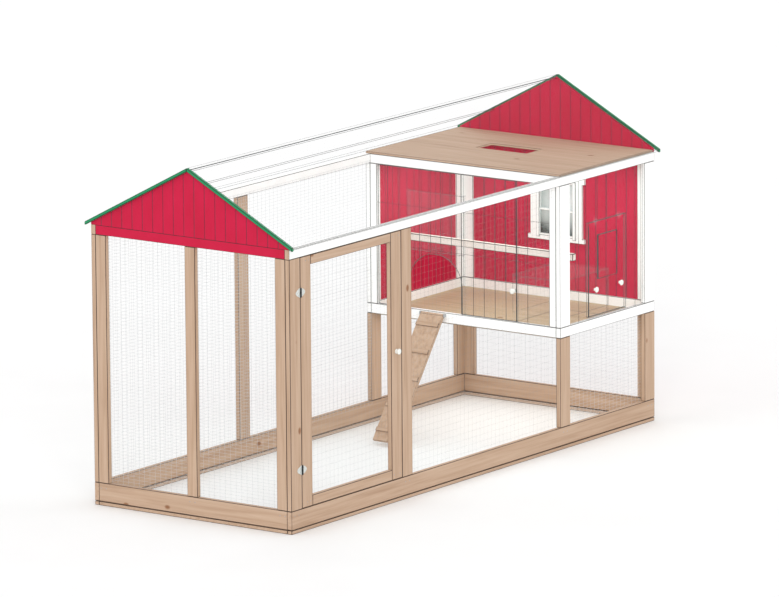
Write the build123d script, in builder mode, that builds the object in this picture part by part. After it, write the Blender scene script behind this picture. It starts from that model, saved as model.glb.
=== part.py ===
from build123d import *
import os
from math import atan2, cos, degrees, sin

os.makedirs("parts", exist_ok=True)

# A barn-style chicken coop: a timber run with wire mesh and a raised house at the far end.
# Millimetres. X runs from the mesh end (-X) to the house end (+X), the run door is on the -Y side.

# ---- overall ----
LENGTH = 3580  # outside of the two end walls
WIDTH = 1370  # outside of the two long sides
WALL_TOP = 1600  # top of the top rails
RIDGE_Z = 1990  # top of the roof at the ridge
EAVE_Z = 1615  # top of the roof at the eave
EAVE_OUT = 32  # roof past the long sides
RAKE_OUT = 20  # roof past the end walls

# ---- boards ----
BOARD_T = 30  # thickness of every frame board
STILE_W = 98  # uprights on the long sides
END_STILE_W = 70  # uprights on the end walls
SKID_H = 22  # ground strip under the base boards
MESH_T = 2  # thickness of a wire mesh panel
BASE_TOP = 130  # top of the base boards
RAIL_BOT = 1545  # underside of the top rails
SKIRT_BOT = 655  # underside of the white band round the house floor
SKIRT_TOP = 715
FLOOR_T = 15
SHEET_T = 12  # siding boards and clear sheets
GABLE_T = 18
GROOVE_PITCH = 72  # spacing of the siding boards
GROOVE_W = 5
GROOVE_D = 2.5
WIRE_W = 3  # width of one bar of the mesh
WIRE_PITCH = 76.2

# ---- places along the length, from the mesh end ----
NEAR = -LENGTH / 2
FAR = LENGTH / 2
DOOR_X = NEAR + STILE_W  # hinge side of the run door opening
POST_X = NEAR + 1050  # latch post, which the run door closes against
MID_POST_X = NEAR + 1324  # upright half way along the back of the run
HOUSE_X = NEAR + 2613  # outside of the house wall that faces the run
FRONT = -WIDTH / 2
BACK = WIDTH / 2

# ---- moving pieces ----
DOOR_GAP = 1.5
RUN_KNOB_Z = 862
HINGE_ZS = (350, 1347)  # run door hinges
LEAF_EDGE_Y = -382  # free edge of the house door
POP_Y = 197  # middle of the pop hole
POP_R = 185  # half width of the pop hole, and radius of its arch
POP_SPRING_Z = 866  # where the arch starts
HOUSE_KNOB_Z = 899
RAMP_Y = 208  # middle of the ramp
RAMP_W = 160
RAMP_AXIS = (HOUSE_X - 12, 700)  # X and Z of the ramp hinge
RAMP_RUN = 490  # level distance from the hinge to the foot
RAMP_LEN = 827
EGG_X = (NEAR + 2905, NEAR + 3291)  # egg door opening
EGG_Z = (725, 1283)
WIN_Y = (-143, 111)  # window opening
WIN_Z = (1030, 1355)
SASH_W = 12


def board(x, y, z, mode=Mode.ADD):
    """A square board, from its low and high edge on each axis."""
    with Locations(((x[0] + x[1]) / 2, (y[0] + y[1]) / 2, (z[0] + z[1]) / 2)):
        Box(x[1] - x[0], y[1] - y[0], z[1] - z[0], mode=mode)


def save(piece, name):
    """Write one named piece."""
    piece.part.label = name
    export_step(piece.part, f"parts/{name}.step")


def inside(low, size=BOARD_T):
    """A board's two edges, from its low edge."""
    return (low, low + size)


FRONT_Y = inside(FRONT)  # depth of the front frame
BACK_Y = (BACK - BOARD_T, BACK)
BETWEEN_Y = (FRONT + BOARD_T, BACK - BOARD_T)  # between the two long sides
NEAR_X = inside(NEAR)
FAR_X = (FAR - BOARD_T, FAR)
HOUSE_WALL_X = inside(HOUSE_X)
UPPER_Z = (SKIRT_TOP, RAIL_BOT)  # height of the house walls between their rails
BASE_Z = (SKID_H + MESH_T, BASE_TOP)

# ============ base ============
with BuildPart() as skids:
    for y in (FRONT_Y, BACK_Y):
        board((NEAR, FAR), y, (0, SKID_H))
    for x in (NEAR_X, FAR_X):
        board(x, (BETWEEN_Y[0] + 0.2, BETWEEN_Y[1] - 0.2), (0, SKID_H))
save(skids, "skids")

with BuildPart() as side_base_boards:
    for y in (FRONT_Y, BACK_Y):
        board((NEAR, FAR), y, BASE_Z)
save(side_base_boards, "side_base_boards")

with BuildPart() as end_base_boards:
    for x in (NEAR_X, FAR_X):
        board(x, BETWEEN_Y, BASE_Z)
save(end_base_boards, "end_base_boards")


def mesh(plane, width, height):
    """A wire mesh panel, drawn at a wide pitch, centred on its plane."""
    across, up = round(width / WIRE_PITCH), round(height / WIRE_PITCH)
    pitch_a, pitch_u = (width - WIRE_W) / across, (height - WIRE_W) / up
    with BuildSketch(plane) as grid:
        Rectangle(width, height)
        with GridLocations(pitch_a, pitch_u, across, up):
            Rectangle(pitch_a - WIRE_W, pitch_u - WIRE_W, mode=Mode.SUBTRACT)
    extrude(grid.sketch, amount=MESH_T)


def side_mesh(x, z, y):
    """Mesh on a long side, from its edges along X and Z, growing towards +Y from y."""
    middle = ((x[0] + x[1]) / 2, y, (z[0] + z[1]) / 2)
    mesh(Plane(middle, x_dir=(-1, 0, 0), z_dir=(0, 1, 0)), x[1] - x[0], z[1] - z[0])


def end_mesh(x, y, z):
    """Mesh on an end wall, growing towards +X from x."""
    middle = (x, (y[0] + y[1]) / 2, (z[0] + z[1]) / 2)
    mesh(Plane(middle, x_dir=(0, 1, 0), z_dir=(1, 0, 0)), y[1] - y[0], z[1] - z[0])


FRONT_MESH_Y = FRONT + BOARD_T
BACK_MESH_Y = BACK - BOARD_T - MESH_T
WALL_MESH_Z = (BASE_TOP - 20, RAIL_BOT + 15)
LOW_MESH_Z = (BASE_TOP - 20, SKIRT_BOT - FLOOR_T + 3)

with BuildPart() as ground_mesh:
    mesh(Plane.XY.offset(SKID_H), LENGTH - BOARD_T, WIDTH - BOARD_T)
save(ground_mesh, "ground_mesh")

# ============ run ============
with BuildPart() as near_corner_stiles:
    for y in (FRONT_Y, BACK_Y):
        board((NEAR, NEAR + STILE_W), y, (BASE_TOP, RAIL_BOT))
save(near_corner_stiles, "near_corner_stiles")

with BuildPart() as near_end_uprights:
    for low in (BETWEEN_Y[0], -END_STILE_W / 2, BETWEEN_Y[1] - END_STILE_W):
        board(NEAR_X, inside(low, END_STILE_W), (BASE_TOP, RAIL_BOT))
save(near_end_uprights, "near_end_uprights")

with BuildPart() as latch_post:
    board(inside(POST_X, STILE_W), FRONT_Y, (BASE_TOP, RAIL_BOT))
save(latch_post, "latch_post")

with BuildPart() as back_mid_post:
    board(inside(MID_POST_X, STILE_W), BACK_Y, (BASE_TOP, RAIL_BOT))
save(back_mid_post, "back_mid_post")

with BuildPart() as near_header:
    board(NEAR_X, BETWEEN_Y, (RAIL_BOT, WALL_TOP))
save(near_header, "near_header")

with BuildPart() as top_rails:
    for y in (FRONT_Y, BACK_Y):
        board((NEAR, FAR), y, (RAIL_BOT, WALL_TOP))
save(top_rails, "top_rails")

with BuildPart() as near_mesh:
    end_mesh(NEAR + BOARD_T, (-620, 620), WALL_MESH_Z)
save(near_mesh, "near_mesh")

with BuildPart() as front_mesh:
    side_mesh((POST_X + STILE_W - 20, HOUSE_X - 1), WALL_MESH_Z, FRONT_MESH_Y)
save(front_mesh, "front_mesh")

with BuildPart() as back_mesh:
    side_mesh((NEAR + BOARD_T + 4, HOUSE_X - 1), WALL_MESH_Z, BACK_MESH_Y)
save(back_mesh, "back_mesh")

# ============ house frame ============
LEG_Z = (BASE_TOP, SKIRT_BOT)
NEAR_UPRIGHT = inside(HOUSE_X, STILE_W)
FAR_UPRIGHT = (FAR - STILE_W, FAR)

with BuildPart() as house_legs:
    for y in (FRONT_Y, BACK_Y):
        for x in (NEAR_UPRIGHT, FAR_UPRIGHT):
            board(x, y, LEG_Z)
save(house_legs, "house_legs")

with BuildPart() as far_low_stiles:
    for low in (BETWEEN_Y[0], BETWEEN_Y[1] - END_STILE_W):
        board(FAR_X, inside(low, END_STILE_W), LEG_Z)
save(far_low_stiles, "far_low_stiles")

with BuildPart() as low_mesh:
    for y in (FRONT_MESH_Y, BACK_MESH_Y):
        side_mesh((HOUSE_X + STILE_W - 13, FAR - STILE_W + 20), LOW_MESH_Z, y)
    end_mesh(FAR - BOARD_T - MESH_T, (-600, 600), LOW_MESH_Z)
save(low_mesh, "low_mesh")

with BuildPart() as side_skirts:
    for y in (FRONT_Y, BACK_Y):
        board((HOUSE_X, FAR), y, (SKIRT_BOT, SKIRT_TOP))
save(side_skirts, "side_skirts")

with BuildPart() as end_skirts:
    for x in (HOUSE_WALL_X, FAR_X):
        board(x, BETWEEN_Y, (SKIRT_BOT, SKIRT_TOP))
save(end_skirts, "end_skirts")

with BuildPart() as house_floor:
    board((HOUSE_WALL_X[1], FAR_X[0]), BETWEEN_Y, (SKIRT_BOT - FLOOR_T + 5, SKIRT_BOT + 5))
save(house_floor, "house_floor")

with BuildPart() as side_stiles:
    for y in (FRONT_Y, BACK_Y):
        for x in (NEAR_UPRIGHT, FAR_UPRIGHT):
            board(x, y, UPPER_Z)
save(side_stiles, "side_stiles")

NEAR_STILE_W = 46
with BuildPart() as cross_stiles:
    for x, width in ((HOUSE_WALL_X, NEAR_STILE_W), (FAR_X, END_STILE_W)):
        for low in (BETWEEN_Y[0], BETWEEN_Y[1] - width):
            board(x, inside(low, width), UPPER_Z)
save(cross_stiles, "cross_stiles")

with BuildPart() as cross_headers:
    for x in (HOUSE_WALL_X, FAR_X):
        board(x, BETWEEN_Y, (RAIL_BOT, WALL_TOP))
save(cross_headers, "cross_headers")

# ============ house walls ============
PANEL_X = (NEAR_UPRIGHT[1], FAR_UPRIGHT[0])  # between the uprights of a long side
BACK_SIDING_Y = (BACK - 23, BACK - 11)
FRONT_SHEET_Y = (FRONT + 6, FRONT + 6 + SHEET_T)
FAR_SIDING_X = (FAR - 23, FAR - 11)
FAR_PANEL_Y = (BETWEEN_Y[0] + END_STILE_W, BETWEEN_Y[1] - END_STILE_W)


def groove_places(low, high):
    """Middles of the grooves that fit between two edges."""
    count = int((high - low - 20) // GROOVE_PITCH)
    start = (low + high - (count - 1) * GROOVE_PITCH) / 2
    return [start + i * GROOVE_PITCH for i in range(count)]


with BuildPart() as back_siding:
    board(PANEL_X, BACK_SIDING_Y, UPPER_Z)
    for x in groove_places(*PANEL_X):
        for y in (BACK_SIDING_Y[0] + GROOVE_D / 2, BACK_SIDING_Y[1] - GROOVE_D / 2):
            with Locations((x, y, sum(UPPER_Z) / 2)):
                Box(GROOVE_W, GROOVE_D, 2 * WALL_TOP, mode=Mode.SUBTRACT)
save(back_siding, "back_siding")

with BuildPart() as far_siding:
    board(FAR_SIDING_X, FAR_PANEL_Y, UPPER_Z)
    board(FAR_SIDING_X, WIN_Y, WIN_Z, mode=Mode.SUBTRACT)
    for y in groove_places(*FAR_PANEL_Y):
        for x in (FAR_SIDING_X[0] + GROOVE_D / 2, FAR_SIDING_X[1] - GROOVE_D / 2):
            with Locations((x, y, sum(UPPER_Z) / 2)):
                Box(GROOVE_D, GROOVE_W, 2 * WALL_TOP, mode=Mode.SUBTRACT)
save(far_siding, "far_siding")

with BuildPart() as front_wall_panel:
    board(PANEL_X, FRONT_SHEET_Y, UPPER_Z)
    board(EGG_X, FRONT_SHEET_Y, EGG_Z, mode=Mode.SUBTRACT)
save(front_wall_panel, "front_wall_panel")

LEAF_X = (HOUSE_X, HOUSE_X + SHEET_T)
with BuildPart() as near_wall_panel:
    board(LEAF_X, (BETWEEN_Y[0] + NEAR_STILE_W, LEAF_EDGE_Y - 3), UPPER_Z)
save(near_wall_panel, "near_wall_panel")

with BuildPart() as ceiling:
    board((HOUSE_X, FAR - GABLE_T), (FRONT, BACK), (WALL_TOP, WALL_TOP + SHEET_T))
    with BuildSketch(Plane.XY.offset(WALL_TOP)):
        with Locations((NEAR + 3142, 39)):
            RectangleRounded(165, 358, 12)
    extrude(amount=SHEET_T, mode=Mode.SUBTRACT)
save(ceiling, "ceiling")

# ============ window in the far wall ============
WIN_IN_X = (FAR_SIDING_X[0] - 14, FAR_SIDING_X[0])  # casing on the inside
WIN_OUT_X = (FAR_SIDING_X[1], FAR_SIDING_X[1] + 14)
with BuildPart() as window_casing:
    for x in (WIN_IN_X, WIN_OUT_X):
        board(x, (WIN_Y[0] - 57, WIN_Y[0]), WIN_Z)
        board(x, (WIN_Y[1], WIN_Y[1] + 57), WIN_Z)
        board(x, (WIN_Y[0] - 75, WIN_Y[1] + 75), (WIN_Z[1], WIN_Z[1] + 42))
        board(x, (WIN_Y[0] - 73, WIN_Y[1] + 75), (WIN_Z[0] - 27, WIN_Z[0]))
    for y in ((WIN_Y[0] - 12, WIN_Y[0] + 8), (WIN_Y[1] - 8, WIN_Y[1] + 12)):
        board((WIN_IN_X[0] - 6, WIN_IN_X[0]), y, (WIN_Z[0] - 10, WIN_Z[1] + 10))
save(window_casing, "window_casing")

MEET_Z = 1186  # where the two sashes meet


def sash_frame(x, y, z):
    """A square frame round one pane."""
    board(x, y, z)
    board(x, (y[0] + SASH_W, y[1] - SASH_W), (z[0] + SASH_W, z[1] - SASH_W), mode=Mode.SUBTRACT)


def pane(x, y, z):
    """The glass of one sash, as thick as a third of its frame."""
    middle = (x[0] + x[1]) / 2
    board((middle - 2, middle + 2), (y[0] + SASH_W, y[1] - SASH_W), (z[0] + SASH_W, z[1] - SASH_W))


UPPER_SASH = (FAR_SIDING_X, WIN_Y, (MEET_Z - 6, WIN_Z[1]))
LOWER_SASH = (
    (WIN_IN_X[0] + 1, WIN_IN_X[1] - 1),
    (WIN_Y[0] + 0.5, WIN_Y[1] - 0.5),
    (WIN_Z[0] + 0.3, MEET_Z + 6),
)
with BuildPart() as upper_sash_frame:
    sash_frame(*UPPER_SASH)
save(upper_sash_frame, "upper_sash_frame")

with BuildPart() as upper_pane:
    pane(*UPPER_SASH)
save(upper_pane, "upper_pane")

with BuildPart() as lower_sash_frame:
    sash_frame(*LOWER_SASH)
save(lower_sash_frame, "lower_sash_frame")

with BuildPart() as lower_pane:
    pane(*LOWER_SASH)
save(lower_pane, "lower_pane")

# ============ inside the house ============
with BuildPart() as perch:
    board((NEAR + 2767, NEAR + 2800), (FRONT_SHEET_Y[1], BACK_SIDING_Y[0]), (1080, 1122))
save(perch, "perch")

NEST_X = (NEAR + 2810, NEAR + 3290)
NEST_Y = (-560, -210)
NEST_Z = (SKIRT_BOT + 5, 945)
NEST_T = 8
with BuildPart() as nest_box:
    board(NEST_X, NEST_Y, (NEST_Z[0], NEST_Z[0] + NEST_T))
    board(NEST_X, NEST_Y, (NEST_Z[1] - NEST_T, NEST_Z[1]))
    for low in (NEST_X[0], NEST_X[1] - NEST_T):
        board(inside(low, NEST_T), NEST_Y, NEST_Z)
    for low in (NEST_Y[0], NEST_Y[1] - NEST_T):
        board(NEST_X, inside(low, NEST_T), (NEST_Z[0], NEST_Z[0] + 65))
save(nest_box, "nest_box")

# ============ roof ============
EAVE_Y = WIDTH / 2 + EAVE_OUT
SLOPE = (RIDGE_Z - EAVE_Z) / EAVE_Y
ROOF_T = 13.5  # measured straight down
TRIM_T = 3


def roof_z(y):
    """Height of the top of the roof at a distance y from the ridge."""
    return RIDGE_Z - SLOPE * abs(y)


def roof_strip(y, x, depth, drop=0):
    """A strip that follows one roof slope, from its two edges in Y, hung drop below the top."""
    with BuildSketch(Plane.YZ.offset(x[0])) as section:
        with BuildLine():
            Polyline(
                (y[0], roof_z(y[0]) - drop),
                (y[1], roof_z(y[1]) - drop),
                (y[1], roof_z(y[1]) - drop - depth),
                (y[0], roof_z(y[0]) - drop - depth),
                close=True,
            )
        make_face()
    extrude(section.sketch, amount=x[1] - x[0])


with BuildPart() as roof_front:
    roof_strip((-EAVE_Y + TRIM_T, 0), (NEAR, FAR), ROOF_T)
save(roof_front, "roof_front")

with BuildPart() as roof_back:
    roof_strip((0, EAVE_Y - TRIM_T), (NEAR, FAR), ROOF_T)
save(roof_back, "roof_back")

with BuildPart() as eave_trims:
    roof_strip((-EAVE_Y, -EAVE_Y + TRIM_T), (NEAR, FAR), ROOF_T)
    roof_strip((EAVE_Y - TRIM_T, EAVE_Y), (NEAR, FAR), ROOF_T)
save(eave_trims, "eave_trims")

RAKE_D = 20
with BuildPart() as rake_boards:
    for x in ((NEAR - RAKE_OUT, NEAR), (FAR, FAR + RAKE_OUT)):
        roof_strip((-EAVE_Y, -0.2), x, RAKE_D)
        roof_strip((0.2, EAVE_Y), x, RAKE_D)
save(rake_boards, "rake_boards")

PURLIN_Y = 437
with BuildPart() as roof_strips:
    for edges_y in ((-3, 0), (0, 3), inside(PURLIN_Y, 5)):
        roof_strip(edges_y, (NEAR + GABLE_T, FAR - GABLE_T), 11, drop=ROOF_T)
save(roof_strips, "roof_strips")


def gable(x):
    """A boarded gable under the roof, with grooves on both faces."""
    with BuildSketch(Plane.YZ.offset(x)) as outline:
        with BuildLine():
            Polyline(
                (FRONT, WALL_TOP),
                (BACK, WALL_TOP),
                (BACK, roof_z(BACK) - ROOF_T),
                (0, roof_z(0) - ROOF_T),
                (FRONT, roof_z(FRONT) - ROOF_T),
                close=True,
            )
        make_face()
    extrude(outline.sketch, amount=GABLE_T)
    for y in groove_places(FRONT, BACK):
        for face in (x + GROOVE_D / 2, x + GABLE_T - GROOVE_D / 2):
            with Locations((face, y, WALL_TOP + 200)):
                Box(GROOVE_D, GROOVE_W, 420, mode=Mode.SUBTRACT)


with BuildPart() as near_gable:
    gable(NEAR)
save(near_gable, "near_gable")

with BuildPart() as far_gable:
    gable(FAR - GABLE_T)
save(far_gable, "far_gable")

# ============ hinges and knobs ============
KNUCKLE_R = 5
PIN_R = 2.5
PIN_BORE_R = 2.55
PLATE_T = 2


def hinge_half(height, reach, side):
    """One half of a butt hinge. Pin along Z, plates on the +Y side, side is -1 fixed or +1 moving."""
    ends = (height / 6 + 0.4, height / 2)
    spans = [(-ends[1], -ends[0]), ends] if side < 0 else [(-height / 6, height / 6)]
    clear = KNUCKLE_R + 0.6
    plate_y = KNUCKLE_R - PLATE_T / 2
    with Locations((side * (clear + reach) / 2, plate_y, 0)):
        Box(reach - clear, PLATE_T, height)
    for low, high in spans:
        with Locations((side * clear / 2, plate_y, (low + high) / 2)):
            Box(clear, PLATE_T, high - low)
        with Locations((0, 0, (low + high) / 2)):
            Cylinder(KNUCKLE_R, high - low)
            if side > 0:
                Cylinder(PIN_BORE_R, high - low + 1, mode=Mode.SUBTRACT)
    if side < 0:
        Cylinder(PIN_R, height)


def knob(radius):
    """A round knob standing out along +Z from just clear of the face it turns on."""
    for low, high, r in ((0.3, 3, 0.8 * radius), (3, 12, 0.45 * radius)):
        with Locations((0, 0, (low + high) / 2)):
            Cylinder(r, high - low)
    with Locations((0, 0, 19)):
        Cylinder(radius, 14)
    # the head is rounded all round
    fillet(edges().filter_by(GeomType.CIRCLE).filter_by(lambda e: abs(e.radius - radius) < 0.01), 5)


# ============ run door ============
RUN_DOOR_X = (DOOR_X + DOOR_GAP, POST_X - DOOR_GAP)
RUN_DOOR_Z = (BASE_TOP + 2, RAIL_BOT - 2)
RUN_KNOB_X = POST_X - 51
LATCH_STILE_X = (RUN_DOOR_X[1] - STILE_W, RUN_DOOR_X[1])
HINGE_STILE_X = inside(RUN_DOOR_X[0], STILE_W)
RUN_HINGE = [Location((DOOR_X + DOOR_GAP / 2, FRONT - KNUCKLE_R, z)) for z in HINGE_ZS]
SPINDLE_R = 6
BORE_R = 6.05

with BuildPart() as run_door_hinge_stile:
    board(HINGE_STILE_X, FRONT_Y, RUN_DOOR_Z)
save(run_door_hinge_stile, "run_door_hinge_stile")

with BuildPart() as run_door_latch_stile:
    board(LATCH_STILE_X, FRONT_Y, RUN_DOOR_Z)
    with Locations(Location((RUN_KNOB_X, FRONT, RUN_KNOB_Z), (90, 0, 0))):
        Cylinder(BORE_R, 3 * BOARD_T, mode=Mode.SUBTRACT)
save(run_door_latch_stile, "run_door_latch_stile")

with BuildPart() as run_door_rails:
    for z in ((RUN_DOOR_Z[0], RUN_DOOR_Z[0] + 58), (RUN_DOOR_Z[1] - 53, RUN_DOOR_Z[1])):
        board((HINGE_STILE_X[1], LATCH_STILE_X[0]), FRONT_Y, z)
save(run_door_rails, "run_door_rails")

with BuildPart() as run_door_mesh:
    side_mesh(
        (HINGE_STILE_X[1] - 20, LATCH_STILE_X[0] + 20),
        (RUN_DOOR_Z[0] + 38, RUN_DOOR_Z[1] - 33),
        FRONT_MESH_Y,
    )
save(run_door_mesh, "run_door_mesh")

with BuildPart() as run_hinge_moving:
    with Locations(*RUN_HINGE):
        hinge_half(52, 44, 1)
save(run_hinge_moving, "run_hinge_moving")

CAM_T = 5
with BuildPart() as run_latch:
    with Locations(Location((RUN_KNOB_X, FRONT, RUN_KNOB_Z), (90, 0, 0))):
        knob(17)
        with Locations((0, 0, -BOARD_T / 2)):
            Cylinder(SPINDLE_R, BOARD_T + 1.2)
        with Locations((0, 35, -BOARD_T - 0.3 - CAM_T / 2)):
            Box(22, 92, CAM_T)
save(run_latch, "run_latch")

# ============ house door, which faces the run, with the pop hole and its slide ============
LEAF_Y = (LEAF_EDGE_Y, BETWEEN_Y[1] - NEAR_STILE_W - 3)
LEAF_Z = (SKIRT_TOP + 2, RAIL_BOT - 2)
HOUSE_KNOB_Y = LEAF_EDGE_Y + 22
HOUSE_HINGE = [
    Location((HOUSE_X - KNUCKLE_R, LEAF_Y[1] + 1.5, z), (0, 0, -90)) for z in (880, 1400)
]

with BuildPart() as house_door:
    board(LEAF_X, LEAF_Y, LEAF_Z)
    board(LEAF_X, (POP_Y - POP_R, POP_Y + POP_R), (0, POP_SPRING_Z), mode=Mode.SUBTRACT)
    with Locations(Location((HOUSE_X, POP_Y, POP_SPRING_Z), (0, 90, 0))):
        Cylinder(POP_R, 3 * SHEET_T, mode=Mode.SUBTRACT)
    with Locations(Location((HOUSE_X, HOUSE_KNOB_Y, HOUSE_KNOB_Z), (0, 90, 0))):
        Cylinder(BORE_R, 3 * SHEET_T, mode=Mode.SUBTRACT)
save(house_door, "house_door")

with BuildPart() as house_hinge_moving:
    with Locations(*HOUSE_HINGE):
        hinge_half(52, 34, 1)
save(house_hinge_moving, "house_hinge_moving")

with BuildPart() as house_latch:
    with Locations(Location((HOUSE_X, HOUSE_KNOB_Y, HOUSE_KNOB_Z), (0, -90, 0))):
        knob(16)
        with Locations((0, 0, -SHEET_T / 2)):
            Cylinder(SPINDLE_R, SHEET_T + 1.2)
        with Locations((28, 0, -SHEET_T - 0.3 - CAM_T / 2)):
            Box(78, 20, CAM_T)
save(house_latch, "house_latch")

POP_HALF = POP_R + 10
POP_DOOR_Z = (1060, 1410)  # raised
with BuildPart() as pop_door:
    board((LEAF_X[1] + 2, LEAF_X[1] + 10), (POP_Y - POP_HALF, POP_Y + POP_HALF), POP_DOOR_Z)
    board((LEAF_X[1] + 10, LEAF_X[1] + 22), (POP_Y - 35, POP_Y + 35), (1075, 1087))
save(pop_door, "pop_door")

with BuildPart() as pop_tracks:
    for side in (-1, 1):
        edge = POP_Y + side * (POP_HALF + 1)
        board((LEAF_X[1], LEAF_X[1] + 14), sorted((edge, edge + side * 11)), (720, 1415))
        board((LEAF_X[1] + 11, LEAF_X[1] + 14), sorted((edge, edge - side * 9)), (720, 1415))
save(pop_tracks, "pop_tracks")

# ============ ramp ============
RAMP_T = 18
BARREL_R = 9
RAMP_PIN_R = 5
RAMP_BORE_R = 5.05
RAMP_TILT = degrees(atan2(RAMP_AXIS[1] - 24, RAMP_RUN))
EAR_T = 8
RAMP_AT = Location((RAMP_AXIS[0], RAMP_Y, RAMP_AXIS[1]), (0, 180 - RAMP_TILT, 0))

with BuildPart() as ramp_board:
    with Locations(RAMP_AT):
        with Locations(((RAMP_LEN + 6) / 2, 0, 0)):
            Box(RAMP_LEN - 6, RAMP_W, RAMP_T)
        with Locations(Location((0, 0, 0), (90, 0, 0))):
            Cylinder(BARREL_R, RAMP_W)
            Cylinder(RAMP_BORE_R, RAMP_W + 2, mode=Mode.SUBTRACT)
save(ramp_board, "ramp_board")

with BuildPart() as ramp_cleats:
    with Locations(RAMP_AT):
        with Locations(*[(s, 0, -RAMP_T / 2 - 4) for s in (70, 245, 421, 596, 757)]):
            Box(26, RAMP_W, 8)
save(ramp_cleats, "ramp_cleats")

with BuildPart() as ramp_hinge:
    for side in (-1, 1):
        with Locations((RAMP_AXIS[0] + 2, RAMP_Y + side * (RAMP_W + EAR_T + 2) / 2, RAMP_AXIS[1])):
            Box(20, EAR_T, 18)
    with Locations(Location((RAMP_AXIS[0], RAMP_Y, RAMP_AXIS[1]), (90, 0, 0))):
        Cylinder(RAMP_PIN_R, RAMP_W + EAR_T)
save(ramp_hinge, "ramp_hinge")

# ============ egg door in the front wall ============
EGG_LEAF_X = (EGG_X[0] + 2, EGG_X[1] - 2)
EGG_LEAF_Z = (EGG_Z[0] + 2, EGG_Z[1] - 2)
EGG_MID = sum(EGG_X) / 2
EGG_HINGE = [
    Location((EGG_MID + dx, FRONT_SHEET_Y[0] - KNUCKLE_R, EGG_Z[1] - 1), (0, 90, 0))
    for dx in (-120, 120)
]
with BuildPart() as egg_door:
    board(EGG_LEAF_X, FRONT_SHEET_Y, EGG_LEAF_Z)
    board((EGG_MID - 100, EGG_MID + 100), (FRONT_SHEET_Y[0] - 4, FRONT_SHEET_Y[0]), (941, 1199))
save(egg_door, "egg_door")

with BuildPart() as egg_door_knobs:
    for dx in (-127, 127):
        with Locations(Location((EGG_MID + dx, FRONT_SHEET_Y[0], 883), (90, 0, 0))):
            with Locations((0, 0, 5)):
                Cylinder(8, 10)
            with Locations((0, 0, 15)):
                Cylinder(17, 12)
save(egg_door_knobs, "egg_door_knobs")

with BuildPart() as egg_hinge_moving:
    with Locations(*EGG_HINGE):
        hinge_half(40, 26, 1)
save(egg_hinge_moving, "egg_hinge_moving")

# the halves that stay on the frame, with their pins
with BuildPart() as fixed_hinges:
    for places, height, reach in ((RUN_HINGE, 52, 44), (HOUSE_HINGE, 52, 34), (EGG_HINGE, 40, 26)):
        with Locations(*places):
            hinge_half(height, reach, -1)
save(fixed_hinges, "fixed_hinges")
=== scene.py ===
import math

import bmesh
import bpy
from mathutils import Matrix, Vector


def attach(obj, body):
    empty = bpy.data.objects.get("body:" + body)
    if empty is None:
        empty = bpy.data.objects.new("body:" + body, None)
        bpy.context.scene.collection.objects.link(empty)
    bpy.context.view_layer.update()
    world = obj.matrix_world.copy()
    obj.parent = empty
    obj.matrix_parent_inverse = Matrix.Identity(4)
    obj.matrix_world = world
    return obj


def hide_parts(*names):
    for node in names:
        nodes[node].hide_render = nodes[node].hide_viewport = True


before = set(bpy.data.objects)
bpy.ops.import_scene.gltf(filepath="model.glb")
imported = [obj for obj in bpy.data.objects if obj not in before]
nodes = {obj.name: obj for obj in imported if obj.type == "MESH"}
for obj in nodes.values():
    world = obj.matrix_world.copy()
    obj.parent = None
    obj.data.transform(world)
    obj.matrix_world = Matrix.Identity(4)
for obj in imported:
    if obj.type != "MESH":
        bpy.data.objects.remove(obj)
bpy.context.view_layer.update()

MM = 0.001

# ---- sizes of the coop that the pieces below need, in mm ----
NEAR, FAR = -1790, 1790
FRONT, BACK = -685, 685
BOARD_T, GABLE_T = 30, 18
STILE_W = 98
POST_X = NEAR + 1050
MID_POST_X = NEAR + 1324
HOUSE_X = NEAR + 2613
RAIL_BOT, WALL_TOP = 1545, 1600
SKIRT_TOP = 715
RIDGE_Z, SLOPE, ROOF_T = 1990, 375 / 717, 13.5
# how far the two faces of the red siding lie behind the face of the frame
SIDING_OUT, SIDING_IN = 11, 23
# the grooves of the siding and gables: how far apart, half the width and the depth of their floors
GROOVE_PITCH, GROOVE_HALF, GROOVE_DEEP = 72, 2.3, 2
# the outer face of the clear front wall, and the arched hole of the pop door in the clear inner wall
FRONT_FACE = FRONT + 6
POP_Y, POP_R, POP_SPRING = 197, 185, 866
# the spindles of the two latches, and the middle of the egg door
RUN_KNOB_X, RUN_KNOB_Z = -791, 862
HOUSE_KNOB_Y, HOUSE_KNOB_Z = -360, 899
EGG_X = 1308


# ================= materials =================
def linear(colour):
    """The linear values of an sRGB hex colour."""
    parts = [int(colour[i : i + 2], 16) / 255 for i in (1, 3, 5)]
    return (*(c / 12.92 if c <= 0.04045 else ((c + 0.055) / 1.055) ** 2.4 for c in parts), 1.0)


def add(tree, kind, inputs=None, stops=None, **settings):
    """Adds a node, with its settings, its fixed inputs and what feeds the others."""
    made = tree.nodes.new(kind)
    for key, value in settings.items():
        setattr(made, key, value)
    for key, value in (inputs or {}).items():
        if isinstance(value, bpy.types.NodeSocket):
            tree.links.new(value, made.inputs[key])
        else:
            made.inputs[key].default_value = value
    if stops:
        ends = made.color_ramp.elements
        while len(ends) < len(stops):
            ends.new(0.5)
        for end, (place, colour) in zip(ends, stops):
            end.position, end.color = place, linear(colour)
    return made


def start(name):
    """A new material with no nodes, and where a point of the object is."""
    made = bpy.data.materials.new(name)
    made.use_nodes = True
    made.node_tree.nodes.clear()
    return made, made.node_tree, add(made.node_tree, "ShaderNodeTexCoord").outputs["Object"]


def close(tree, inputs):
    """The surface shader of a material."""
    shader = add(tree, "ShaderNodeBsdfPrincipled", inputs)
    add(tree, "ShaderNodeOutputMaterial", {"Surface": shader.outputs["BSDF"]})


def along(axis, across_mm, along_mm):
    """Texture scale for a pattern so wide across the board and so long along it."""
    scale = [1 / (across_mm * MM)] * 3
    scale[axis] = 1 / (along_mm * MM)
    return scale


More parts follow.
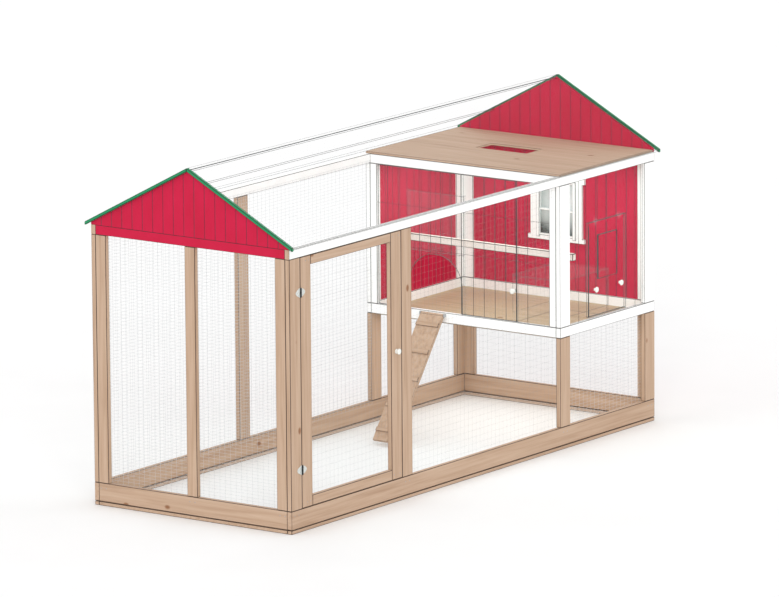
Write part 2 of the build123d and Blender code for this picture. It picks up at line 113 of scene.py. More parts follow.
def timber(name, axis, colours, knots=0.045):
    """Planed softwood, oiled: pale growth bands that run the length of the board, with small knots."""
    made, tree, place = start(name)
    bands_at = add(tree, "ShaderNodeMapping", {"Vector": place, "Scale": along(axis, 22, 620)})
    bands = add(tree, "ShaderNodeTexNoise", {"Vector": bands_at.outputs[0], "Scale": 1.0, "Detail": 3.0,
                                             "Distortion": 0.6})
    grain_at = add(tree, "ShaderNodeMapping", {"Vector": place, "Scale": along(axis, 2.6, 160)})
    grain = add(tree, "ShaderNodeTexNoise", {"Vector": grain_at.outputs[0], "Scale": 1.0, "Detail": 2.0})
    # knots about 12 mm across, some 400 mm apart along a board
    knot_at = add(tree, "ShaderNodeMapping", {"Vector": place, "Scale": along(axis, 210, 330)})
    knot = add(tree, "ShaderNodeTexVoronoi", {"Vector": knot_at.outputs[0], "Scale": 1.0})
    both = add(tree, "ShaderNodeMath", {0: grain.outputs["Fac"], 1: 0.4, 2: bands.outputs["Fac"]},
               operation="MULTIPLY_ADD")
    tone = add(tree, "ShaderNodeValToRGB", {"Fac": both.outputs[0]},
               stops=((0.40, colours[0]), (0.68, colours[1]), (0.95, colours[2])))
    spot = add(tree, "ShaderNodeValToRGB", {"Fac": knot.outputs["Distance"]},
               stops=((knots, "#C4A68E"), (knots * 1.7, "#FFFFFF")))
    base = add(tree, "ShaderNodeMix", {"Factor": 1.0, 6: tone.outputs[0], 7: spot.outputs[0]},
               data_type="RGBA", blend_type="MULTIPLY")
    rough = add(tree, "ShaderNodeMapRange",
                {"Value": grain.outputs["Fac"], "To Min": 0.52, "To Max": 0.72})
    bump = add(tree, "ShaderNodeBump",
               {"Height": both.outputs[0], "Strength": 0.35, "Distance": 0.4 * MM})
    close(tree, {"Base Color": base.outputs[2], "Roughness": rough.outputs[0], "Normal": bump.outputs[0],
                 "IOR": 1.45, "Specular IOR Level": 0.3})
    return made


def paint(name, axis, colours, rough=0.42):
    """Brushed satin paint over wood: fine brush marks along the board and a little unevenness."""
    made, tree, place = start(name)
    cloud = add(tree, "ShaderNodeTexNoise", {"Vector": place, "Scale": 1 / (140 * MM), "Detail": 4.0})
    brush_at = add(tree, "ShaderNodeMapping", {"Vector": place, "Scale": along(axis, 3, 220)})
    brush = add(tree, "ShaderNodeTexNoise", {"Vector": brush_at.outputs[0], "Scale": 1.0, "Detail": 3.0})
    both = add(tree, "ShaderNodeMath", {0: brush.outputs["Fac"], 1: 0.35, 2: cloud.outputs["Fac"]},
               operation="MULTIPLY_ADD")
    tone = add(tree, "ShaderNodeValToRGB", {"Fac": both.outputs[0]},
               stops=((0.4, colours[0]), (0.95, colours[1])))
    gloss = add(tree, "ShaderNodeMapRange",
                {"Value": both.outputs[0], "To Min": rough - 0.06, "To Max": rough + 0.12})
    bump = add(tree, "ShaderNodeBump", {"Height": brush.outputs["Fac"], "Strength": 0.3,
                                        "Distance": 0.25 * MM})
    close(tree, {"Base Color": tone.outputs[0], "Roughness": gloss.outputs[0], "Normal": bump.outputs[0],
                 "IOR": 1.5, "Specular IOR Level": 0.15})
    return made


def plain(name, colours, rough, metallic=0.0, spot_mm=12, **sockets):
    """A moulded, cast or drawn surface: one colour that varies a little from place to place."""
    made, tree, place = start(name)
    cloud = add(tree, "ShaderNodeTexNoise", {"Vector": place, "Scale": 1 / (spot_mm * MM), "Detail": 3.0})
    tone = add(tree, "ShaderNodeValToRGB", {"Fac": cloud.outputs["Fac"]},
               stops=((0.35, colours[0]), (0.7, colours[1])))
    gloss = add(tree, "ShaderNodeMapRange",
                {"Value": cloud.outputs["Fac"], "To Min": rough - 0.05, "To Max": rough + 0.08})
    close(tree, {"Base Color": tone.outputs[0], "Roughness": gloss.outputs[0], "Metallic": metallic,
                 **sockets})
    return made


def clear_sheet(name, colours, alpha):
    """Clear acrylic sheet, extruded: almost nothing of its own to see but faint streaks."""
    made, tree, place = start(name)
    streak_at = add(tree, "ShaderNodeMapping", {"Vector": place, "Scale": along(2, 60, 900)})
    streak = add(tree, "ShaderNodeTexNoise",
                 {"Vector": streak_at.outputs[0], "Scale": 1.0, "Detail": 2.0})
    tone = add(tree, "ShaderNodeValToRGB", {"Fac": streak.outputs["Fac"]},
               stops=((0.3, colours[0]), (0.75, colours[1])))
    gloss = add(tree, "ShaderNodeMapRange",
                {"Value": streak.outputs["Fac"], "To Min": 0.08, "To Max": 0.2})
    close(tree, {"Base Color": tone.outputs[0], "Roughness": gloss.outputs[0], "Alpha": alpha,
                 "IOR": 1.49})
    return made


PINE = ("#AB8C73", "#BC9F87", "#C5AA93")
PINE_X, PINE_Y, PINE_Z = (timber(f"oiled_pine_{a}", i, PINE) for i, a in enumerate("xyz"))
# the floor boards of the house are yellower than the frame, against the red of the walls round them
PINE_FLOOR = timber("yellow_pine_y", 1, ("#AE977A", "#BFAA8A", "#C9B598"))
WHITE = ("#F8F8F6", "#FEFEFD")
WHITE_X, WHITE_Y, WHITE_Z = (paint(f"white_gloss_paint_{a}", i, WHITE) for i, a in enumerate("xyz"))
RED = ("#BC1539", "#C81B44")
RED_Y, RED_Z = (paint(f"barn_red_paint_{a}", i, RED) for a, i in (("y", 1), ("z", 2)))
GREEN = paint("green_satin_paint", 1, ("#1F8355", "#289562"))
PERCH_WOOD = timber("sanded_poplar", 1, ("#D9C7BB", "#E4D7CE", "#EBE1DA"), knots=0.02)
# painted shade: the eased edges of the boards are coloured dark, as shade in the joints would be, which
# draws each joint as a thin dark line
PINE_EDGE_SHADE = plain("oiled_pine_arris_painted_shade", ("#46362B", "#564334"), 0.7, spot_mm=40)
WHITE_EDGE_SHADE = plain("white_paint_arris_painted_shade", ("#6A6A68", "#7C7C7A"), 0.6, spot_mm=40)
RED_EDGE_SHADE = plain("barn_red_arris_painted_shade", ("#641426", "#74192D"), 0.6, spot_mm=40)
GREEN_EDGE_SHADE = plain("green_paint_arris_painted_shade", ("#0E4A2F", "#125637"), 0.6, spot_mm=40)
CLEAR_EDGE = plain("acrylic_sawn_edge", ("#4A4E4E", "#5A5F5F"), 0.5, spot_mm=30)
GALVANISED = plain("galvanised_wire", ("#BFC3C4", "#D0D3D4"), 0.45, metallic=0.15, spot_mm=9)
FINE_WIRE = plain("fine_steel_wire", ("#8C8F90", "#A0A3A4"), 0.5, metallic=0.15, spot_mm=9)
BRIGHT_WIRE = plain("bright_galvanised_wire", ("#DDE0E1", "#EBEDED"), 0.4, metallic=0.1, spot_mm=9)
GREY_ENAMEL = plain("pale_grey_enamel", ("#C4C8C4", "#D8DBD6"), 0.35, spot_mm=10)
ZINC = plain("zinc_plated_steel", ("#A9ACAE", "#C6C9CB"), 0.35, metallic=0.8, spot_mm=5)
PALE_ENAMEL = plain("pale_enamel", ("#E6E7E1", "#F3F4EE"), 0.25, spot_mm=10)
DARK_STEEL = plain("blackened_steel", ("#26282A", "#34373A"), 0.45, metallic=0.6, spot_mm=6)
SEAL = plain("dark_seal_strip", ("#2E3132", "#3C4041"), 0.55, spot_mm=20)
ROOF_CLEAR = clear_sheet("clear_roof_sheet", ("#EDF2F2", "#F8FBFB"), 0.012)
WALL_CLEAR = clear_sheet("clear_wall_sheet", ("#EDF2F2", "#F8FBFB"), 0.015)
HINGE_CLEAR = clear_sheet("clear_moulded_hinge", ("#D9DFDF", "#EEF3F3"), 0.03)


def window_glass():
    """Old float glass with a painted reflection: pale high in the window, where it would mirror the sky,
    darker and green towards its low corner.
    """
    made, tree, place = start("float_glass_painted_reflection")
    # how far a point lies from a place high in the window, 350 mm across and 300 mm up counting as one
    centred = add(tree, "ShaderNodeMapping", {"Vector": place, "Location": (0, 0.05 / 0.35, -1.25 / 0.3),
                                              "Scale": (0, 1 / 0.35, 1 / 0.3)})
    wave = add(tree, "ShaderNodeTexNoise", {"Vector": place, "Scale": 1 / (90 * MM), "Detail": 2.0})
    far_out = add(tree, "ShaderNodeVectorMath", {0: centred.outputs[0]}, operation="LENGTH")
    both = add(tree, "ShaderNodeMath", {0: wave.outputs["Fac"], 1: 0.25, 2: far_out.outputs["Value"]},
               operation="MULTIPLY_ADD")
    # painted reflection: pale near that place high in the window, darker and green further from it
    tone = add(tree, "ShaderNodeValToRGB", {"Fac": both.outputs[0]},
               stops=((0.3, "#E6E9E9"), (0.6, "#B4BCB9"), (0.86, "#33403A")))
    close(tree, {"Base Color": tone.outputs[0], "Roughness": 0.08, "IOR": 1.52, "Alpha": 0.85})
    return made


GLASS = window_glass()


# ================= making pieces =================
def dress(names, main, edge=None, width=3.0, steps=2):
    """Gives CAD nodes their finish, and eases their edges."""
    for name in names.split():
        piece = nodes[name]
        piece.data.materials.clear()
        for made in (main, edge or main):
            piece.data.materials.append(made)
        weld = piece.modifiers.new("weld", "WELD")
        weld.merge_threshold = 0.01 * MM
        arris = piece.modifiers.new("arris", "BEVEL")
        arris.width, arris.segments = width * MM, steps
        arris.limit_method, arris.angle_limit = "ANGLE", math.radians(38)
        arris.material = 1
        arris.use_clamp_overlap = True


def piece(name, body, mesh, materials, replaces="", slot=None, bevel=0.0):
    """Puts a finished mesh in the scene, riding on its body."""
    data = bpy.data.meshes.new(name)
    bmesh.ops.recalc_face_normals(mesh, faces=mesh.faces)
    mesh.to_mesh(data)
    mesh.free()
    made = bpy.data.objects.new(name, data)
    bpy.context.scene.collection.objects.link(made)
    for material in materials:
        data.materials.append(material)
    if bevel:
        arris = made.modifiers.new("arris", "BEVEL")
        arris.width, arris.segments, arris.limit_method = bevel * MM, 2, "ANGLE"
    if replaces:
        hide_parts(*replaces.split())
    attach(made, body)
    return made


def block(mesh, low, high, material=0, at=Matrix()):
    """A square block between two corners in mm, in the space of at."""
    low, high = Vector(low) * MM, Vector(high) * MM
    place = Matrix.Translation((low + high) / 2) @ Matrix.Diagonal((*(high - low), 1))
    made = bmesh.ops.create_cube(mesh, size=1, matrix=at @ place)
    for face in {f for v in made["verts"] for f in v.link_faces}:
        face.material_index = material


def turned(mesh, profile, at, sides=20, material=0):
    """A turned shape: its profile (radius, height) in mm, spun round the Z axis of at."""
    rings = []
    for radius, height in profile:
        if radius < 1e-6:
            rings.append([mesh.verts.new(at @ Vector((0, 0, height * MM)))])
        else:
            rings.append([
                mesh.verts.new(at @ Vector((radius * MM * math.cos(a), radius * MM * math.sin(a),
                                            height * MM)))
                for a in (2 * math.pi * i / sides for i in range(sides))
            ])
    for a, b in zip(rings, rings[1:]):
        for i in range(sides):
            j = (i + 1) % sides
            corners = [a[i % len(a)], a[j % len(a)], b[j % len(b)], b[i % len(b)]]
            corners = list(dict.fromkeys(corners))
            if len(corners) > 2:
                face = mesh.faces.new(corners)
                face.material_index = material
                face.smooth = len(profile) > 4
    for ring in (rings[0], rings[-1]):
        if len(ring) > 2:
            mesh.faces.new(ring).material_index = material


def facing(at, axis):
    """A place in mm whose Z axis points along axis."""
    turn = Vector(axis).to_track_quat("Z", "Y").to_matrix().to_4x4()
    return Matrix.Translation(Vector(at) * MM) @ turn


def outline_plate(mesh, outline, thick, at, material=0):
    """A flat plate from its outline in mm, in the XY plane of at."""
    low = [mesh.verts.new(at @ Vector((x * MM, y * MM, 0))) for x, y in outline]
    high = [mesh.verts.new(at @ Vector((x * MM, y * MM, thick * MM))) for x, y in outline]
    faces = [mesh.faces.new(low[::-1]), mesh.faces.new(high)]
    for i in range(len(outline)):
        j = (i + 1) % len(outline)
        faces.append(mesh.faces.new((low[i], low[j], high[j], high[i])))
    for face in faces:
        face.material_index = material


def screw(mesh, at, radius=4.0, material=0, dark=1):
    """A domed screw head with a cross recess, proud of the face by a millimetre."""
    k = radius / 4
    dome = [(4 * k, -0.6), (4 * k, 0.2), (3.5 * k, 0.7), (2.2 * k, 1.05), (0, 1.15)]
    turned(mesh, dome, at, 12, material)
    for turn in (0, math.pi / 2):
        cross = at @ Matrix.Rotation(turn + 0.4, 4, "Z")
        bar = [(-2 * k, -0.45), (2 * k, -0.45), (2 * k, 0.45), (-2 * k, 0.45)]
        outline_plate(mesh, bar, 1.25, cross, dark)


# ================= finishes of the CAD pieces =================
dress("side_base_boards", PINE_X, PINE_EDGE_SHADE)
dress("end_base_boards", PINE_Y, PINE_EDGE_SHADE)
dress("skids", PINE_X, PINE_EDGE_SHADE)
dress("near_corner_stiles near_end_uprights latch_post back_mid_post house_legs far_low_stiles "
      "run_door_hinge_stile run_door_latch_stile", PINE_Z, PINE_EDGE_SHADE)
dress("run_door_rails", PINE_X, PINE_EDGE_SHADE)
dress("ceiling", PINE_Y, PINE_EDGE_SHADE, 1.5)
dress("house_floor", PINE_FLOOR, PINE_EDGE_SHADE, 1.5)
dress("ramp_board", PINE_X, PINE_EDGE_SHADE)
dress("ramp_cleats", PINE_Y, PINE_EDGE_SHADE, 2.5)
dress("top_rails side_skirts", WHITE_X, WHITE_EDGE_SHADE)
dress("end_skirts cross_headers", WHITE_Y, WHITE_EDGE_SHADE)
dress("side_stiles cross_stiles", WHITE_Z, WHITE_EDGE_SHADE)
dress("window_casing", WHITE_Z, WHITE_EDGE_SHADE, 1.8)
dress("upper_sash_frame lower_sash_frame", WHITE_Z, WHITE_EDGE_SHADE, 1.0)
dress("near_header", RED_Y, RED_EDGE_SHADE)
dress("back_siding far_siding near_gable far_gable", RED_Z, RED_EDGE_SHADE, 0.8, 1)
dress("rake_boards", GREEN, GREEN_EDGE_SHADE, 4.5)
dress("perch", PERCH_WOOD, PINE_EDGE_SHADE, 4.0, 3)
dress("upper_pane lower_pane", GLASS, GLASS, 0.3, 1)
dress("roof_front roof_back", ROOF_CLEAR, CLEAR_EDGE, 1.2, 1)
dress("front_wall_panel near_wall_panel pop_door", WALL_CLEAR, CLEAR_EDGE, 1.2, 1)
dress("house_door egg_door", WALL_CLEAR, CLEAR_EDGE, 2.4, 1)
dress("nest_box", WALL_CLEAR, CLEAR_EDGE, 1.2, 1)
dress("pop_tracks", WALL_CLEAR, CLEAR_EDGE, 0.6, 1)
dress("roof_strips", ROOF_CLEAR, SEAL, 2.0, 1)
dress("eave_trims", ROOF_CLEAR, CLEAR_EDGE, 0.6, 1)
dress("ramp_hinge", ZINC, ZINC, 0.6, 2)


# ================= wire mesh =================
# wire radius in mm, spacing of the level wires in mm, and finish: welded, fine, and the floor's
WELDED, FINE, GROUND = (0.5, 19.05, 0), (0.24, 38.1, 1), (0.4, 19.05, 2)


def wire_panel(mesh, gauge, corner, across, up, out):
    """Mesh from one corner, its upright wires 38 mm apart and its level wires on their outer side."""
    wire, level, finish = gauge
    corner, across, up, out = (Vector(v) for v in (corner, across, up, out))
    for run, other, pitch, lift in ((up, across, 38.1, -wire), (across, up, level, wire * 0.95)):
        count = round(other.length / pitch)
        for i in range(count + 1):
            reach = wire + (other.length - 2 * wire) * i / count
            at = corner + other * reach / other.length + out * lift
            turned(mesh, [(wire, 0), (wire, run.length)], facing(at, run), 6, finish)


Y_IN = FRONT + BOARD_T + 1
for name, body, panels in (
    ("near_mesh", "coop", [(WELDED, (-1759, -620, 110), (0, 1240, 0), (0, 0, 1450), (-1, 0, 0))]),
    ("front_mesh", "coop", [(FINE, (-662, Y_IN, 110), (1484, 0, 0), (0, 0, 1450), (0, -1, 0))]),
    ("back_mesh", "coop", [(WELDED, (-1756, -Y_IN, 110), (2578, 0, 0), (0, 0, 1450), (0, 1, 0))]),
    ("run_door_mesh", "run_door", [(FINE, (-1612.5, Y_IN, 170), (793, 0, 0), (0, 0, 1340), (0, -1, 0))]),
    ("low_mesh", "coop", [(WELDED, (908, Y_IN, 110), (804, 0, 0), (0, 0, 533), (0, -1, 0)),
                          (FINE, (908, -Y_IN, 110), (804, 0, 0), (0, 0, 533), (0, 1, 0)),
                          (FINE, (1759, -600, 110), (0, 1200, 0), (0, 0, 533), (1, 0, 0))]),
    ("ground_mesh", "coop", [(GROUND, (-1775, -670, 23), (3550, 0, 0), (0, 1340, 0), (0, 0, 1))]),
):
    wires = bmesh.new()
    for panel in panels:
        wire_panel(wires, *panel)
    piece(f"{name}_wires", body, wires, [GALVANISED, FINE_WIRE, BRIGHT_WIRE], replaces=name, slot="wire")

# ================= grooves and seams =================
# painted shade: the floors of the siding's grooves are coloured a darker red, where shade falls in them
GROOVE_SHADE = plain("barn_red_groove_painted_shade", ("#8E2440", "#9C2B46"), 0.6, spot_mm=40)


def groove_places(low, high):
    """Middles of the grooves between two edges of the siding."""
    count = int((high - low - 20) // GROOVE_PITCH)
    first = (low + high - (count - 1) * GROOVE_PITCH) / 2
    return [first + i * GROOVE_PITCH for i in range(count)]


shade = bmesh.new()


def groove_floor(facing_axis, face, middle, low, high):
    """A strip of painted shade on the floor of one groove, in a board that faces along X or Y."""
    low, high = (face - 0.4, middle - GROOVE_HALF, low), (face + 0.4, middle + GROOVE_HALF, high)
    if facing_axis == "y":
        low, high = (low[1], low[0], low[2]), (high[1], high[0], high[2])
    block(shade, low, high)


for y in groove_places(FRONT, BACK):
    top = RIDGE_Z - SLOPE * (abs(y) + 3) - ROOF_T - 0.5
    for edge in (NEAR, FAR - GABLE_T):
        for face in (edge + GROOVE_DEEP, edge + GABLE_T - GROOVE_DEEP):
            groove_floor("x", face, y, WALL_TOP + 0.5, top)
for y in groove_places(-585, 585):
    spans = [(SKIRT_TOP + 1, RAIL_BOT - 1)]
    # those behind the window casing stop above and below it
    if -218 < y < 186:
        spans = [(SKIRT_TOP + 1, 1002), (1398, RAIL_BOT - 1)]
    for low, high in spans:
        for face in (FAR - SIDING_IN + GROOVE_DEEP, FAR - SIDING_OUT - GROOVE_DEEP):
            groove_floor("x", face, y, low, high)
for x in groove_places(HOUSE_X + STILE_W, FAR - STILE_W):
    for face in (BACK - SIDING_IN + GROOVE_DEEP, BACK - SIDING_OUT - GROOVE_DEEP):
        groove_floor("y", face, x, SKIRT_TOP + 1, RAIL_BOT - 1)
piece("siding_groove_painted_shade", "coop", shade, [GROOVE_SHADE], slot="red_siding")

# board seams scored in the clear sheets and filled dark, half of one being SEAM wide
SEAM = 1.3


def inner_seam(mesh, side, other_side, low, high):
    """A dark filling in the inner wall's face to the run, between two places along Y."""
    block(mesh, (HOUSE_X - 0.3, side, low), (HOUSE_X + 0.5, other_side, high))


def front_seam(mesh, side, other_side, low, high):
    """A dark filling in the outer face of the front wall, between two places along X."""
    block(mesh, (side, FRONT_FACE - 0.4, low), (other_side, FRONT_FACE + 0.4, high))


leaf, strip = bmesh.new(), bmesh.new()
for y in (-458, -305, -229, -152, -76, 8, 79, 154, 226, 305, 455, 530):
    low = SKIRT_TOP + 3
    if abs(y - POP_Y) < POP_R + 2:
        # a seam over the arch starts above it
        low = POP_SPRING + math.sqrt(max(POP_R**2 - (y - POP_Y) ** 2, 0)) + 6
    target = strip if y < -385 else leaf
    wide = 2 * SEAM if y == 8 else SEAM
    inner_seam(target, y - wide, y + wide, low, RAIL_BOT - 4)
# the closing edge of the door, and the two level seams of door and wall
inner_seam(leaf, -381, -376, SKIRT_TOP + 3, RAIL_BOT - 4)
for z in (1075, 1320):
    inner_seam(leaf, -381, 605, z - 0.8, z + 0.8)
    inner_seam(strip, -608, -386, z - 0.8, z + 0.8)
piece("house_door_seams", "house_leaf", leaf, [SEAL], slot="house_door_sheet")
piece("near_wall_seams", "coop", strip, [SEAL], slot="wall_sheet")

front, hatch = bmesh.new(), bmesh.new()
for u in (2809, 2999, 3098, 3191, 3387):
    # a seam over the egg door starts above it
    low = 1285 if 2905 < u < 3291 else SKIRT_TOP + 1
    front_seam(front, NEAR + u - SEAM, NEAR + u + SEAM, low, RAIL_BOT - 1)
for low, high in ((728, 940), (1200, 1262)):
    front_seam(hatch, EGG_X - SEAM, EGG_X + SEAM, low, high)
# the egg door's left edge, and the two cleats on its face
front_seam(hatch, NEAR + 2908, NEAR + 2914, 728, 1262)
for x in (NEAR + 3002, NEAR + 3194):
    block(hatch, (x - 4, FRONT_FACE - 4.4, 942), (x + 4, FRONT_FACE - 3.7, 1198))
piece("front_wall_seams", "coop", front, [SEAL], slot="wall_sheet")
piece("egg_door_seams", "egg_hatch", hatch, [SEAL], slot="egg_door_sheet")

# bare end grain of the two top rails
ends = bmesh.new()
for x in (NEAR, FAR):
    for y in (FRONT, BACK - BOARD_T):
        block(ends, (x - 0.6, y + 1, RAIL_BOT + 1), (x + 0.6, y + BOARD_T - 1, WALL_TOP - 1))
piece("top_rail_end_grain", "coop", ends, [PINE_Z], slot="pine", bevel=0.4)


# ================= hinges =================
def hinge_wing(mesh, at, height, reach, side, plate, pin):
    """One wing of a butterfly hinge: plate, knuckles and screws. Its pin runs along Z of at."""
    h = height / 2
    start_x = 5.2
    half = [(start_x, h), (start_x + 4, h), (0.42 * reach, 0.80 * h), (0.68 * reach, 0.62 * h),
            (0.86 * reach, 0.36 * h), (reach - 1, 0.12 * h)]
    outline = half + [(x, -y) for x, y in reversed(half)]
    if side < 0:
        outline = [(-x, y) for x, y in reversed(outline)]
    # the plate lies on the +Y side of the pin: plate X is the hinge's X, plate Y is the hinge's Z
    lay = Matrix(((1, 0, 0, 0), (0, 0, 1, 3.0 * MM), (0, 1, 0, 0), (0, 0, 0, 1)))
    outline_plate(mesh, outline, 2, at @ lay, plate)
    spans = [(-h, -h / 3 - 0.4), (h / 3 + 0.4, h)] if side < 0 else [(-h / 3, h / 3)]
    for low, high in spans:
        turned(mesh, [(2.6, low), (4.6, low), (5, low + 0.5), (5, high - 0.5), (4.6, high), (2.6, high)],
               at, 20, pin)
        left, right = (0, 6) if side > 0 else (-6, 0)
        block(mesh, (left, 3, low), (right, 5, high), plate, at)
    if side < 0:
        turned(mesh, [(0, -h - 1.6), (2.8, -h - 1.2), (2.8, -h), (2.4, -h),
                      (2.4, h), (2.8, h), (2.8, h + 1.2), (0, h + 1.6)], at, 16, pin)
    for x, z in ((0.36, 0.5), (0.36, -0.5), (0.74, 0)):
        place = at @ Matrix.Translation((side * x * reach * MM, 3 * MM, z * h * MM))
        screw(mesh, place @ Matrix.Rotation(math.pi / 2, 4, "X"), 3.0, plate, pin)


RUN_HINGES = [Matrix.Translation(Vector((-1691.25, -690, z)) * MM) for z in (350, 1347)]
HOUSE_HINGES = [Matrix.Translation(Vector((818, 607.5, z)) * MM) @ Matrix.Rotation(-math.pi / 2, 4, "Z")
                for z in (880, 1400)]
EGG_HINGES = [Matrix.Translation(Vector((EGG_X + dx, -684, 1282)) * MM)
              @ Matrix.Rotation(math.pi / 2, 4, "Y") for dx in (-120, 120)]
# the hinges of the clear doors are clear mouldings too
SETS = ((RUN_HINGES, 52, 44, "run_door", "run_hinge_moving", 0, 1),
        (HOUSE_HINGES, 52, 34, "house_leaf", "house_hinge_moving", 2, 2),
        (EGG_HINGES, 40, 26, "egg_hatch", "egg_hinge_moving", 2, 2))
fixed = bmesh.new()
HINGE_FINISHES = [GREY_ENAMEL, DARK_STEEL, HINGE_CLEAR]
for places, height, reach, body, node, plate, pin in SETS:
    moving = bmesh.new()
    for at in places:
        hinge_wing(moving, at, height, reach, 1, plate, pin)
        hinge_wing(fixed, at, height, reach, -1, plate, pin)
    piece(f"{node}_wings", body, moving, HINGE_FINISHES, replaces=node, slot="hinge_steel", bevel=0.4)
piece("fixed_hinge_wings", "coop", fixed, HINGE_FINISHES, replaces="fixed_hinges", slot="hinge_steel",
      bevel=0.4)


# ================= knobs and latches =================
def knob(mesh, at, radius):
    """A turned knob on a small rose, standing out along Z of at."""
    shape = ((0, 0.3), (0.82, 0.3), (0.82, 1.8), (0.7, 3), (0.45, 4.2), (0.38, 8), (0.5, 11), (0.8, 13),
             (0.97, 16.5), (1, 19), (0.95, 22), (0.74, 24.6), (0.4, 25.8), (0, 26))
    turned(mesh, [(part * radius, height) for part, height in shape], at, 32)


def cam(mesh, at, low, high, half, depth, finish=0):
    """The turning bar behind the board: rounded ends, and a screw into the spindle."""
    outline = []
    for middle, first in ((high - half, 0), (low + half, math.pi)):
        for i in range(9):
            a = first + math.pi * i / 8
            outline.append((half * math.cos(a), middle + half * math.sin(a)))
    outline_plate(mesh, outline, 5, at @ Matrix.Translation((0, 0, depth * MM)), finish)
    turned(mesh, [(6, depth + 5), (6, -1)], at, 24, finish)
    behind = at @ Matrix.Translation((0, 0, depth * MM)) @ Matrix.Rotation(math.pi, 4, "X")
    screw(mesh, behind, 4.5, finish, finish or 1)


FACING_FRONT = Matrix.Rotation(math.pi / 2, 4, "X")
latch = bmesh.new()
at = Matrix.Translation(Vector((RUN_KNOB_X, FRONT, RUN_KNOB_Z)) * MM) @ FACING_FRONT
knob(latch, at, 17)
cam(latch, at, -11, 81, 11, -35.3)
piece("run_latch_turned", "run_knob", latch, [PALE_ENAMEL, DARK_STEEL], replaces="run_latch",
      slot="knob_white")

latch = bmesh.new()
at = Matrix.Translation(Vector((HOUSE_X, HOUSE_KNOB_Y, HOUSE_KNOB_Z)) * MM)
at = at @ Matrix.Rotation(-math.pi / 2, 4, "Y")
knob(latch, at, 16)
cam(latch, at @ Matrix.Rotation(-math.pi / 2, 4, "Z"), -11, 67, 10, -17.3, 2)
piece("house_latch_turned", "house_knob", latch, [PALE_ENAMEL, DARK_STEEL, HINGE_CLEAR],
      replaces="house_latch", slot="knob_white")

knobs = bmesh.new()
for dx in (-127, 127):
    at = Matrix.Translation(Vector((EGG_X + dx, FRONT_FACE, 883)) * MM) @ FACING_FRONT
    turned(knobs, [(0, 0), (9, 0), (9, 1.2), (7, 2.5), (6, 6), (8, 9), (14, 11), (16.6, 14),
                   (17, 16.5), (15.5, 19), (11, 20.6), (0, 21)], at, 32)
piece("egg_door_knobs_turned", "egg_hatch", knobs, [PALE_ENAMEL], replaces="egg_door_knobs",
      slot="knob_white")

# ================= screws: bare in the oiled boards, painted over in the painted ones =================
screws = bmesh.new()
for y, out in ((FRONT, -1), (BACK, 1)):
    posts = [NEAR + 30, NEAR + 68, HOUSE_X + 30, HOUSE_X + 68, FAR - 68, FAR - 30]
    posts += [POST_X + 30, POST_X + 68] if out < 0 else [MID_POST_X + 30, MID_POST_X + 68]
    for x in posts:
        screw(screws, facing((x, y, 100), (0, out, 0)), 3.2)
        for z in (1572, 685) if x > HOUSE_X else (1572,):
            screw(screws, facing((x, y, z), (0, out, 0)), 3.2, 2, 2)
for x, out in ((NEAR, -1), (FAR, 1)):
    for y in (-640, -605, -18, 18, 605, 640):
        screw(screws, facing((x, y, 100), (out, 0, 0)), 3.2)
        screw(screws, facing((x, y, 1572), (out, 0, 0)), 3.2, 3 if out < 0 else 2, 3 if out < 0 else 2)
        if out > 0:
            screw(screws, facing((x, y, 685), (out, 0, 0)), 3.2, 2, 2)
piece("frame_screws", "coop", screws, [ZINC, DARK_STEEL, WHITE_Z, RED_Z], slot="hinge_steel")
door_screws = bmesh.new()
for x in (-1640, -1612, -820, -765):
    for z in (160, 1518):
        screw(door_screws, facing((x, FRONT, z), (0, -1, 0)), 3.2)
piece("run_door_screws", "run_door", door_screws, [ZINC, DARK_STEEL], slot="hinge_steel")

# ================= floor, light and camera =================
bpy.ops.mesh.primitive_plane_add(size=400, location=(0, 0, 0))
floor = bpy.context.object
floor.name = "studio_floor"
floor.data.materials.append(plain("studio_floor_paint", ("#F4F4F4", "#F6F6F6"), 0.9, spot_mm=900))

world = bpy.data.worlds.new("studio")
bpy.context.scene.world = world
world.use_nodes = True
world.node_tree.nodes["Background"].inputs["Color"].default_value = (1, 1, 1, 1)
world.node_tree.nodes["Background"].inputs["Strength"].default_value = 1.0


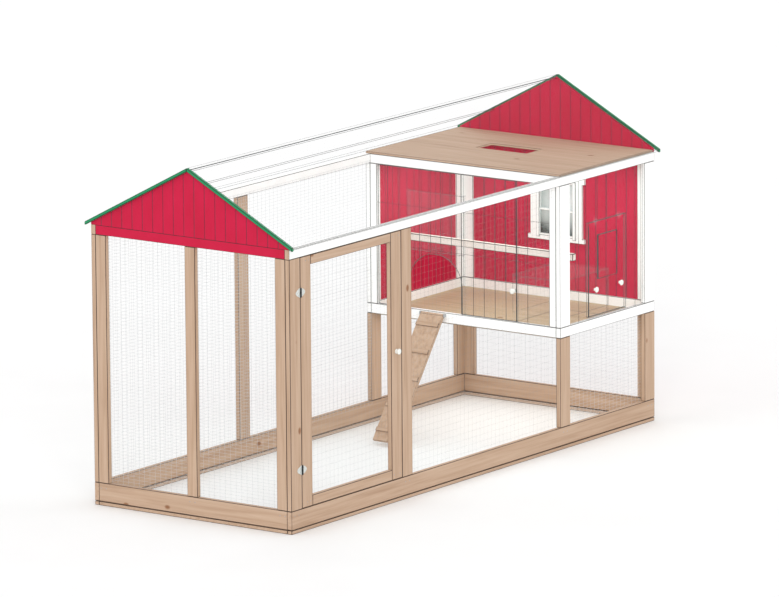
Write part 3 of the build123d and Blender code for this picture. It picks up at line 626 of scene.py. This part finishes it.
def sun(name, direction, strength, angle):
    """A soft sun that shines along direction."""
    data = bpy.data.lights.new(name, "SUN")
    data.energy, data.angle = strength, math.radians(angle)
    lamp = bpy.data.objects.new(name, data)
    lamp.rotation_euler = Vector(direction).to_track_quat("-Z", "Y").to_euler()
    bpy.context.scene.collection.objects.link(lamp)


sun("key", (0.8, 0.62, -0.45), 0.9, 30)


def fill(name, at, size, power, colour=(1, 1, 1)):
    """A soft lamp that faces down, so that the roofed spaces read as evenly as the open ones."""
    data = bpy.data.lights.new(name, "AREA")
    data.shape, data.size, data.size_y, data.energy, data.color = "RECTANGLE", *size, power, colour
    lamp = bpy.data.objects.new(name, data)
    lamp.location = at
    lamp.visible_camera = False
    bpy.context.scene.collection.objects.link(lamp)


fill("run_fill", (-0.45, 0, 1.52), (2.4, 1.15), 4, (0.85, 1, 1))
fill("house_fill", (1.28, 0, 1.53), (0.8, 1.15), 6, (0.82, 1, 1))
fill("low_fill", (1.28, 0, 0.625), (0.8, 1.15), 3)

scene = bpy.context.scene
scene.view_settings.view_transform = "Standard"
# a line of sight can cross a dozen clear sheets, each with two faces
scene.cycles.transparent_max_bounces = 32
SENSOR, IMAGE_WIDTH, FOCAL = 36, 779, 8439  # the focal length is in the units of the image's width
lens = bpy.data.cameras.new("camera")
lens.sensor_width, lens.lens = SENSOR, SENSOR * FOCAL / IMAGE_WIDTH
lens.clip_start, lens.clip_end = 1, 400
camera = bpy.data.objects.new("camera", lens)
scene.collection.objects.link(camera)
yaw, pitch, roll = (math.radians(a) for a in (35.778, 11.431, -0.4365))
ahead = Vector((math.cos(pitch) * math.cos(yaw), math.cos(pitch) * math.sin(yaw), -math.sin(pitch)))
right = ahead.cross(Vector((0, 0, 1))).normalized()
up = right.cross(ahead)
right, up = right * math.cos(roll) + up * math.sin(roll), up * math.cos(roll) - right * math.sin(roll)
turn = Matrix((right, up, -ahead)).transposed().to_quaternion()
camera.matrix_world = Matrix.LocRotScale(Vector((-38.256, -27.639, 10.495)), turn, None)
scene.camera = camera
